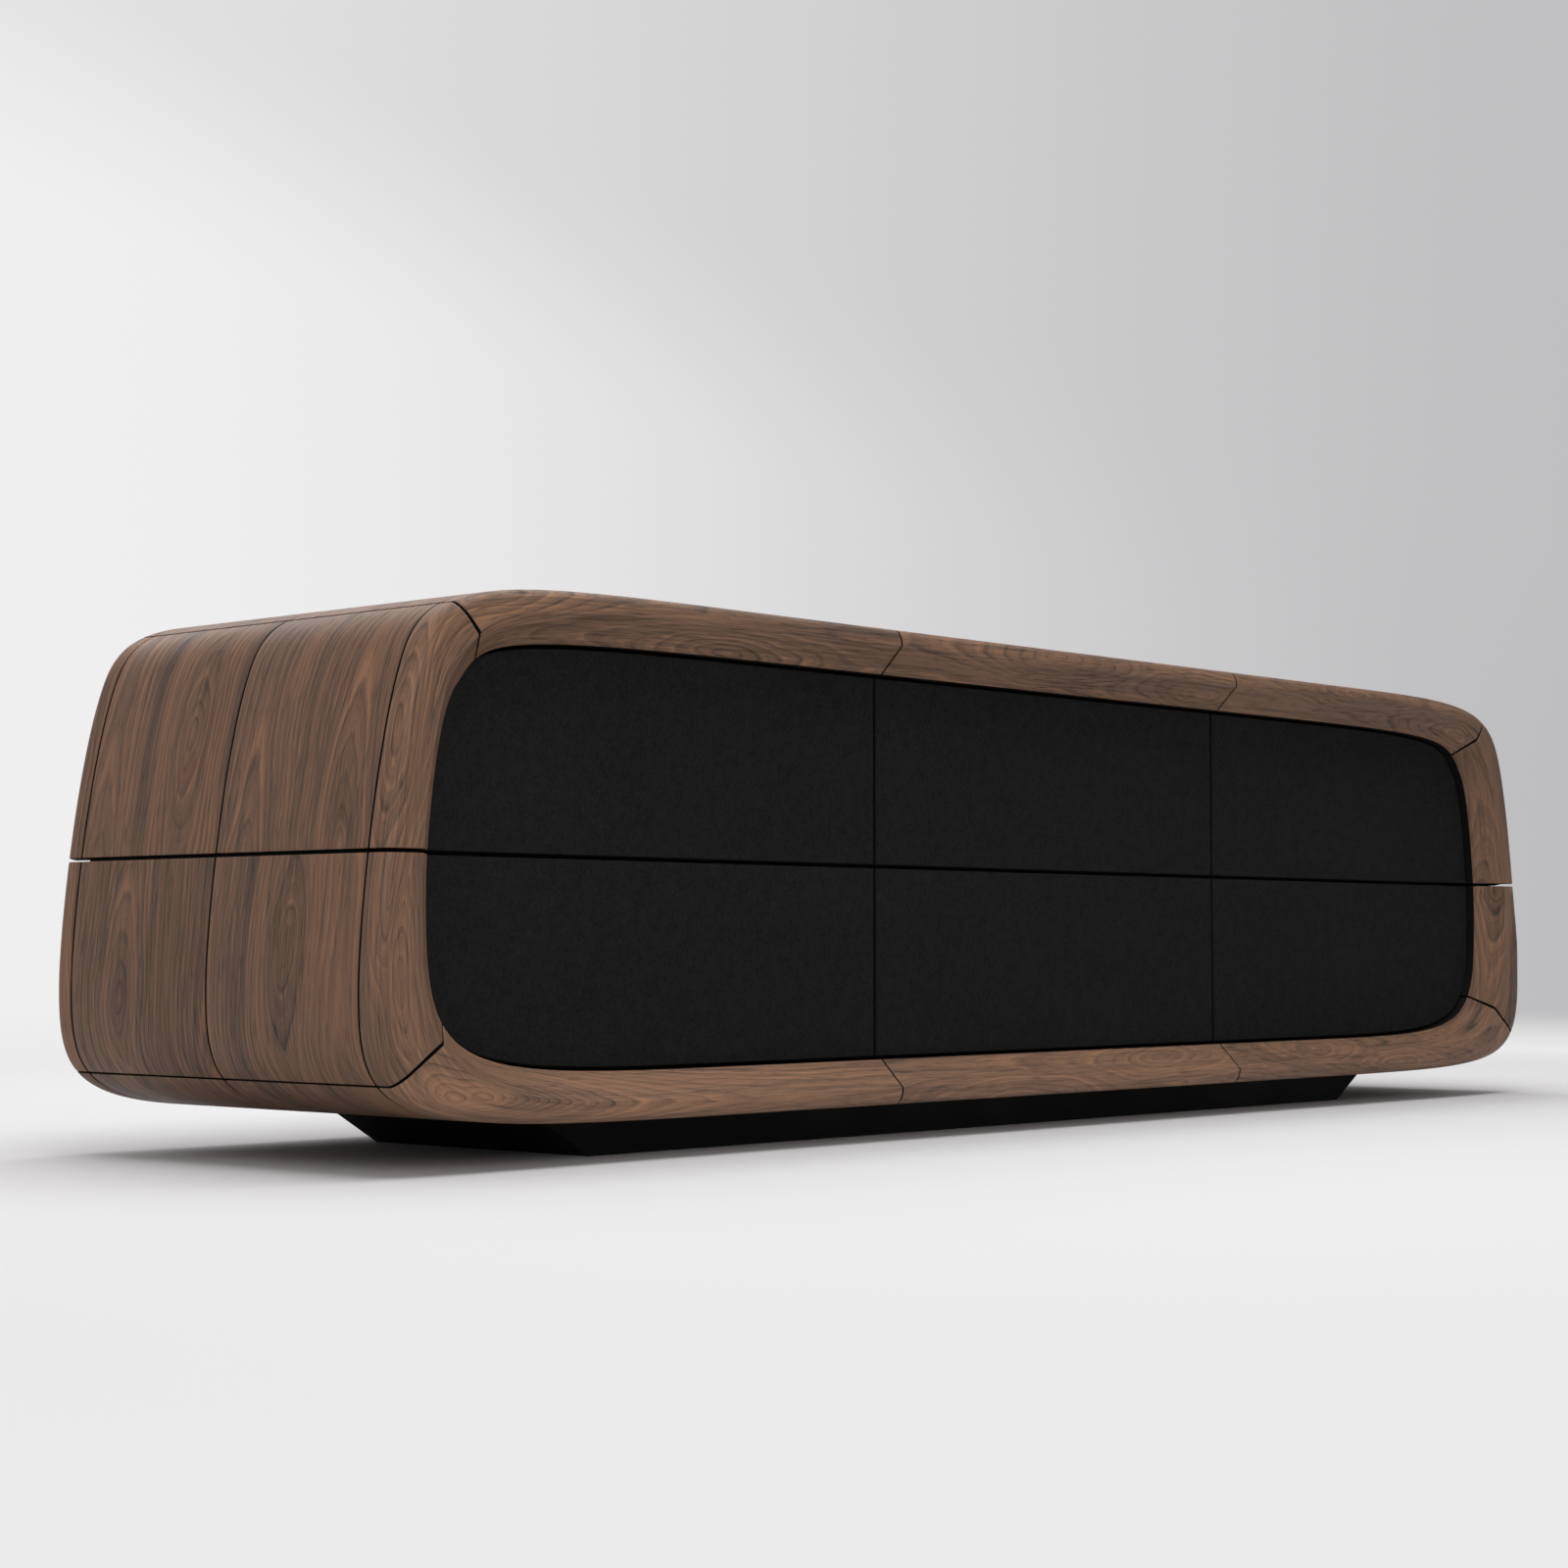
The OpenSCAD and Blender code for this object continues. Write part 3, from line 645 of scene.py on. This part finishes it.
def plank_piece(name, section, finish, seed, heart, second, black_from, side=1,
                growth=EDGING_GROWTH, tone=1.0, arris=0.0008):
    """A closed piece swept through a row of sections, with its plank map in metres: across the
    grain round the section, along the grain through the row, both counted from its heart. The
    sides from a section point onwards, and both ends, are black."""
    rings = with_arris(section, arris)
    if side < 0:
        rings = rings * np.array([-1.0, 1.0, 1.0])
    n, m = rings.shape[:2]
    quads, caps = skin(rings)
    faces = quads.tolist() + caps
    points = rings.reshape(-1, 3)
    a, b, c, d = (points[quads[:, k]] for k in range(4))
    volume = (np.cross(b - a, c - a) * a).sum() + (np.cross(c - a, d - a) * a).sum()
    step_round = np.linalg.norm(np.roll(rings, -1, 1) - rings, axis=2).mean(0)
    girth = np.concatenate([[0], np.cumsum(step_round)])
    girth = girth - girth[GIRTH_FROM] - heart[0]
    step_along = np.linalg.norm(np.diff(rings.mean(1), axis=0), axis=1)
    along = np.concatenate([[0], np.cumsum(step_along)]) - heart[1]
    across_map, along_map = np.meshgrid(girth, along)
    uv = np.stack([np.stack([across_map[i:n - 1 + i, j:m + j], along_map[i:n - 1 + i, j:m + j]], 2)
                   for i, j in ((0, 0), (0, 1), (1, 1), (1, 0))], 2).reshape(-1, 4, 2)
    cap_uv = [np.stack([points[cap, 0] + points[cap, 2], points[cap, 1]], 1) for cap in caps]
    if volume < 0:
        faces = [face[::-1] for face in faces]
        uv = uv[:, ::-1]
        cap_uv = [corners[::-1] for corners in cap_uv]
    black_and_shade_faces = np.append(np.tile(np.arange(m) >= black_from, n - 1), [True, True])
    piece = new_piece(name, points, faces, finish, black_and_shade_faces)
    layer = piece.data.uv_layers.new(name="plank")
    layer.data.foreach_set("uv", np.concatenate([uv.reshape(-1, 2), *cap_uv]).ravel())
    for label, value in (("seed", seed), ("tone", tone)):
        column = piece.data.attributes.new(label, "FLOAT", "POINT")
        column.data.foreach_set("value", np.full(n * m, float(value)))
    apart = (second[0] - heart[0], second[1] - heart[1], 0.0)
    for label, value in (("second_heart", apart), ("growth", growth)):
        column = piece.data.attributes.new(label, "FLOAT_VECTOR", "POINT")
        column.data.foreach_set("vector", np.tile(value, n * m))
    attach(piece, "root")
    return piece


def front_piece(name, a, b, count, seed, heart, second, side=1, tone=1.0, growth=EDGING_GROWTH):
    """A length of the front frame between two cuts. Hearts are given across the grain from the
    opening's edge and along it from the first end."""
    section = rounded(front_section(stations(a, b, count)), FRONT_EASE)
    piece = plank_piece(name, section, WALNUT_EDGING, seed, heart, second, FRONT_BLACK_FROM, side,
                        growth, tone)
    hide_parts(name)


front_piece("front_rail_top_centre", top_cut(-centre_x), top_cut(centre_x), 40, 3.1,
            (0.05, 0.30), (0.02, 0.62))
front_piece("front_rail_bottom_centre", bottom_cut(centre_x), bottom_cut(-centre_x), 40, 4.2,
            (0.06, 0.45), (0.01, 0.15), tone=1.25)

# Each piece's seed, its two hearts, its tone and how it grew.
FRONT_PIECES = {
    ("top", -1): (5.1, (0.06, 0.62), (0.01, 0.25), 1.1, EDGING_GROWTH),
    ("top", 1): (8.1, (0.06, 0.3), (0.02, 0.6), 0.95, EDGING_GROWTH),
    ("bottom", -1): (5.7, (0.057, 0.051), (0.049, 0.071), 1.3, (0.0040, 0.33, 0.3)),
    ("bottom", 1): (8.7, (0.05, 0.3), (0.01, 0.5), 1.15, EDGING_GROWTH),
    ("upper", -1): (6.3, (0.09, 0.14), (0.03, 0.30), 1.04, EDGING_GROWTH),
    ("upper", 1): (9.3, (0.08, 0.1), (0.02, 0.3), 0.88, EDGING_GROWTH),
    ("lower", -1): (6.9, (0.08, 0.13), (0.10, 0.02), 1.05, EDGING_GROWTH),
    ("lower", 1): (9.9, (0.09, 0.12), (0.03, 0.0), 0.88, EDGING_GROWTH),
}
for side, hand in SIDES:
    for row, name, a, b, count in (
            ("top", "rail_top", top_cut(seam_x), moved(TOP_MITRE, -SEAM / 2), 90),
            ("bottom", "rail_bottom", moved(BOTTOM_MITRE, SEAM / 2), bottom_cut(seam_x), 90),
            ("upper", "upright_upper", moved(TOP_MITRE, SEAM / 2), ABOVE_GAP, 50),
            ("lower", "upright_lower", BELOW_GAP, moved(BOTTOM_MITRE, -SEAM / 2), 50)):
        seed, heart, second, tone, growth = FRONT_PIECES[row, side]
        front_piece(f"front_{name}_{hand}", a, b, count, seed, heart, second, side, tone, growth)

# ---------------------------------------------------------------------------------------------
# Rear frame: the same edging with a plain rounding, mitred and glued round a set-back back
# panel, which is screwed to the carcass.
# ---------------------------------------------------------------------------------------------
REAR_ROUND = 0.016
REAR_EASE = {1: 0.003, 12: 0.0008}
REAR_BLACK_FROM = 20
REAR_HEARTS = ((0.06, 0.2), (0.02, 0.5))


def rear_section(cuts):
    """The rear frame's section at each cut, as an array (cuts, points, 3)."""
    edge = outline(OPENING, cuts[:, 0])
    shell = outline(SHELL, cuts[:, 2])
    rounding = [at(beside(SHELL, cuts[:, 2], -REAR_ROUND * (1 - math.sin(a))),
                   back - REAR_ROUND * (1 - math.cos(a))) for a in quarter]
    tongue = beside(SHELL, cuts[:, 2], -TONGUE)
    return np.stack([
        at(edge, back_panel_rear), at(edge, back), *rounding, at(shell, rear_seam + SEAM),
        at(tongue, rear_seam + SEAM), at(tongue, back_panel_rear)], 1)


def rear_piece(name, a, b, count, seed, side=1):
    """A length of the rear frame between two cuts."""
    section = rounded(rear_section(stations(a, b, count)), REAR_EASE)
    return plank_piece(name, section, WALNUT_EDGING, seed, *REAR_HEARTS, REAR_BLACK_FROM, side)


top = rear_piece("rear_rail_top_centre", top_cut(-centre_x), top_cut(centre_x), 40, 1.1)
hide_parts("rear_rail_top")
bottom = rear_piece("rear_rail_bottom_centre", bottom_cut(centre_x), bottom_cut(-centre_x), 40, 1.7)
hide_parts("rear_rail_bottom")
REAR_SEEDS = {"left": 11.0, "right": 13.0}
for side, hand in SIDES:
    for row, a, b, count, seed in (
            ("rail_top", top_cut(seam_x), moved(TOP_MITRE, -SEAM / 2), 80, 0.0),
            ("rail_bottom", moved(BOTTOM_MITRE, SEAM / 2), bottom_cut(seam_x), 80, 0.4),
            ("upright_upper", moved(TOP_MITRE, SEAM / 2), ABOVE_GAP, 40, 0.8),
            ("upright_lower", BELOW_GAP, moved(BOTTOM_MITRE, -SEAM / 2), 40, 1.2)):
        piece = rear_piece(f"rear_{row}_{hand}", a, b, count, REAR_SEEDS[hand] + seed, side)
        if row == "upright_upper":
            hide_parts(f"rear_uprights_{hand}")

# ---------------------------------------------------------------------------------------------
# Outer panels: walnut-veneered boards bent over the ends and laid flat along the top and
# bottom, glued to the formers in two rows with a seam between them. The grain runs round the
# body, up the ends.
# ---------------------------------------------------------------------------------------------
WALNUT_VENEER = walnut("walnut_veneer", srgb(109, 82, 65), srgb(148, 107, 79), srgb(57, 49, 44))
VENEER_GROWTH = (0.0064, 0.33, 1.0)
ROWS = {"front": (front_seam + SEAM, panel_split - SEAM / 2), "rear": (panel_split + SEAM / 2, rear_seam)}
PANEL_EASE = {0: 0.0008, 1: 0.0008}
PANEL_BLACK_FROM = 9


def panel_piece(name, s0, s1, count, row, seed, heart, second, side=1):
    """A panel of even thickness along the shell's outline, between two places on it."""
    y0, y1 = ROWS[row]
    s = np.linspace(s0, s1, count + 1)
    outer, inner = outline(SHELL, s), beside(SHELL, s, -PANEL)
    corners = np.stack([at(outer, y0), at(outer, y1), at(inner, y1), at(inner, y0)], 1)
    return plank_piece(name, rounded(corners, PANEL_EASE), WALNUT_VENEER, seed, heart, second,
                       PANEL_BLACK_FROM, side, VENEER_GROWTH)


# Each end panel's seed and its two hearts.
HEARTS = {
    ("upper", "front", -1): (2.3, (0.040, 0.250), (0.190, 0.330)),
    ("upper", "rear", -1): (9.6, (0.066, 0.135), (0.200, 0.340)),
    ("lower", "front", -1): (4.4, (0.106, 0.092), (0.020, 0.330)),
    ("lower", "rear", -1): (6.1, (0.140, 0.140), (0.000, 0.330)),
    ("upper", "front", 1): (12.5, (0.100, 0.150), (0.200, 0.310)),
    ("upper", "rear", 1): (14.2, (0.120, 0.100), (0.010, 0.300)),
    ("lower", "front", 1): (16.3, (0.120, 0.120), (0.020, 0.330)),
    ("lower", "rear", 1): (17.9, (0.090, 0.090), (0.220, 0.300)),
}
for side, hand in SIDES:
    for level, s0, s1 in (("upper", moved(TOP_MITRE, SEAM / 2)[2], ABOVE_GAP[2]),
                          ("lower", BELOW_GAP[2], moved(BOTTOM_MITRE, -SEAM / 2)[2])):
        for row in ROWS:
            piece = panel_piece(f"end_panel_{level}_{row}_{hand}", s0, s1, 60, row,
                                *HEARTS[level, row, side], side)
            if row == "front":
                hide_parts(f"end_panels_{level}_{hand}")

# The flat panels' seeds, which rise by one to the rear row and by SIDE_SEED to the right, and
# their two hearts.
CENTRE_SEEDS = {"top": 20.5, "bottom": 25.5}
CENTRE_HEARTS = ((0.1, 0.3), (0.2, 0.7))
SIDE_SEEDS = {"top": 30.0, "bottom": 40.0}
SIDE_SEED = 2.3
SIDE_HEARTS = ((0.12, 0.25), (0.02, 0.6))
for k, row in enumerate(ROWS):
    top = panel_piece(f"top_panel_{row}_centre", -centre_x / SHOULDER - 1, centre_x / SHOULDER - 1, 4,
                      row, CENTRE_SEEDS["top"] + k, *CENTRE_HEARTS)
    bottom = panel_piece(f"bottom_panel_{row}_centre", 4 - centre_x / SHOULDER, 4 + centre_x / SHOULDER, 4,
                         row, CENTRE_SEEDS["bottom"] + k, *CENTRE_HEARTS)
    if row == "front":
        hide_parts("top_panels")
        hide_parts("bottom_panels")
    for side, hand in SIDES:
        panel_piece(f"top_panel_{row}_{hand}", seam_x / SHOULDER - 1, moved(TOP_MITRE, -SEAM / 2)[2], 90,
                    row, SIDE_SEEDS["top"] + k + SIDE_SEED * side, *SIDE_HEARTS, side)
        panel_piece(f"bottom_panel_{row}_{hand}", moved(BOTTOM_MITRE, SEAM / 2)[2], 4 - seam_x / SHOULDER, 90,
                    row, SIDE_SEEDS["bottom"] + k + SIDE_SEED * side, *SIDE_HEARTS, side)

# ---------------------------------------------------------------------------------------------
# Runners and levelling feet: zinc plated steel. The cabinet rails are screwed to the carcass,
# the drawer rails to the boxes, and the middle rails run between them. The feet are screwed
# into the plinth.
# ---------------------------------------------------------------------------------------------
ZINC = (srgb(172, 174, 177), srgb(200, 202, 205))

zinc, zinc_tree, zinc_shader = coating("zinc_plate")
drawn = speckle(zinc_tree, (900, 6, 900), 3.0, 0.6)
feed(zinc_tree, zinc_shader["Base Color"], blend_colours(zinc_tree, drawn, *ZINC))
feed(zinc_tree, zinc_shader["Roughness"], remap(zinc_tree, drawn, 0.2, 0.8, 0.28, 0.42))
zinc_shader["Metallic"].default_value = 1.0
finish_nodes("zinc", zinc)

# ---------------------------------------------------------------------------------------------
# Drawer boxes: pale lacquered plywood sides, front, back and bottom, glued up as a box that
# the drawer front is screwed to.
# ---------------------------------------------------------------------------------------------
PLYWOOD = (srgb(196, 164, 124), srgb(160, 126, 90))

ply, ply_tree, ply_shader = coating("drawer_plywood")
ply_grain = speckle(ply_tree, (6, 6, 260), 4.0, 0.6)
ply_shade = speckle(ply_tree, (3, 3, 12), 2.0, 0.5)
ply_tone = total(ply_tree, centred(ply_tree, ply_grain, 1.2), centred(ply_tree, ply_shade, 0.8))
ply_tone = calc(ply_tree, "ADD", ply_tone, 0.5, clamp=True)
feed(ply_tree, ply_shader["Base Color"], blend_colours(ply_tree, ply_tone, *PLYWOOD))
ply_shader["Roughness"].default_value = 0.45
finish_nodes("drawer_wood", ply)

# ---------------------------------------------------------------------------------------------
# Drawer fronts: boards covered in black nubuck, with eased edges, screwed to the drawer boxes.
# The outer ones follow the opening's rounded corners.
# ---------------------------------------------------------------------------------------------
FRONT_EDGE = 0.0024
CLEARANCE = 0.003
FRONT_GAP = 0.004
NUBUCK = (srgb(20, 20, 20), srgb(35, 35, 35))

nubuck, nubuck_tree, nubuck_shader = coating("nubuck")
nap = speckle(nubuck_tree, (260, 260, 260), 3.0, 0.7)
mottle = speckle(nubuck_tree, (60, 60, 60), 3.0, 0.6)
brushed = speckle(nubuck_tree, (5, 5, 9), 2.0, 0.5)
nubuck_tone = total(nubuck_tree, centred(nubuck_tree, mottle, 0.8),
                    centred(nubuck_tree, brushed, 0.3), centred(nubuck_tree, nap, 1.8))
nubuck_tone = calc(nubuck_tree, "ADD", nubuck_tone, 0.5, clamp=True)
feed(nubuck_tree, nubuck_shader["Base Color"], blend_colours(nubuck_tree, nubuck_tone, *NUBUCK))
nubuck_shader["Roughness"].default_value = 0.95
nubuck_shader["Specular IOR Level"].default_value = 0.04
nubuck_bump = new_node(nubuck_tree, "ShaderNodeBump")
nubuck_bump.inputs["Strength"].default_value = 0.3
nubuck_bump.inputs["Distance"].default_value = 0.0003
feed(nubuck_tree, nubuck_bump.inputs["Height"], nap)
feed(nubuck_tree, nubuck_shader["Normal"], nubuck_bump.outputs[0])


def plate(name, points, y0, y1, edge):
    """A board with a closed outline (x, z) from y0 to y1, its front edge rounded by a quarter
    circle: each ring is the outline moved in along its corner normals. The nubuck covers the face
    and the half of the rounding next to it; the rest of it and the sides are black as painted shade, and the
    back is black."""
    before, after = np.roll(points, 1, 0), np.roll(points, -1, 0)
    d0 = (points - before) / np.linalg.norm(points - before, axis=1, keepdims=True)
    d1 = (after - points) / np.linalg.norm(after - points, axis=1, keepdims=True)
    n0, n1 = np.stack([d0[:, 1], -d0[:, 0]], 1), np.stack([d1[:, 1], -d1[:, 0]], 1)
    inward = (n0 + n1) / (1 + (n0 * n1).sum(1, keepdims=True))
    area = (points[:, 0] * after[:, 1] - after[:, 0] * points[:, 1]).sum()
    inward = inward * (-1 if area > 0 else 1)
    rings = [np.stack([points[:, 0], np.full(len(points), y1), points[:, 1]], 1)]
    for a in np.radians(np.linspace(90, 0, 7)):
        moved_in = points + inward * edge * (1 - math.sin(a))
        y = y0 + edge * (1 - math.cos(a))
        rings.append(np.stack([moved_in[:, 0], np.full(len(points), y), moved_in[:, 1]], 1))
    rings = np.stack(rings)
    quads, caps = skin(rings)
    faces = quads.tolist() + caps
    if area > 0:
        faces = [face[::-1] for face in faces]
    number = np.arange(len(faces))
    # Painted shade: the sides and the half of the rounding next to them are black for the shade in the gaps
    # between the fronts; the back is black.
    black_and_shade_faces = (number < 4 * len(points)) | (number == len(quads))
    return new_piece(name, rings.reshape(-1, 3), faces, nubuck, black_and_shade_faces)


front_face, front_rear = (corner.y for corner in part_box("drawer_front_upper_centre"))
inner_x = PITCH / 2 + FRONT_GAP / 2
for column, place_name in ((-1, "left"), (0, "centre"), (1, "right")):
    for row, level in ((1, "upper"), (-1, "lower")):
        name = f"drawer_front_{level}_{place_name}"
        low, high = FRONT_GAP / 2, half_high - rail_face - CLEARANCE
        if column == 0:
            half_w = PITCH / 2 - FRONT_GAP / 2
            points = np.array([[-half_w, low], [half_w, low], [half_w, high], [-half_w, high]])
            points = points * np.array([1, row])
        else:
            gap_s = s_at(OPENING, -CLEARANCE, row * low)
            rail_s = inner_x / SHOULDER - 1 if row > 0 else 4 - inner_x / SHOULDER
            curve = beside(OPENING, np.linspace(rail_s, gap_s, 120), -CLEARANCE)
            points = np.vstack([curve, [[inner_x, row * low]]]) * np.array([column, 1])
        board = plate(name, points + np.array([0, middle]), front_face, front_rear, FRONT_EDGE)
        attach(board, f"drawer_{level}_{place_name}")
        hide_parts(name)
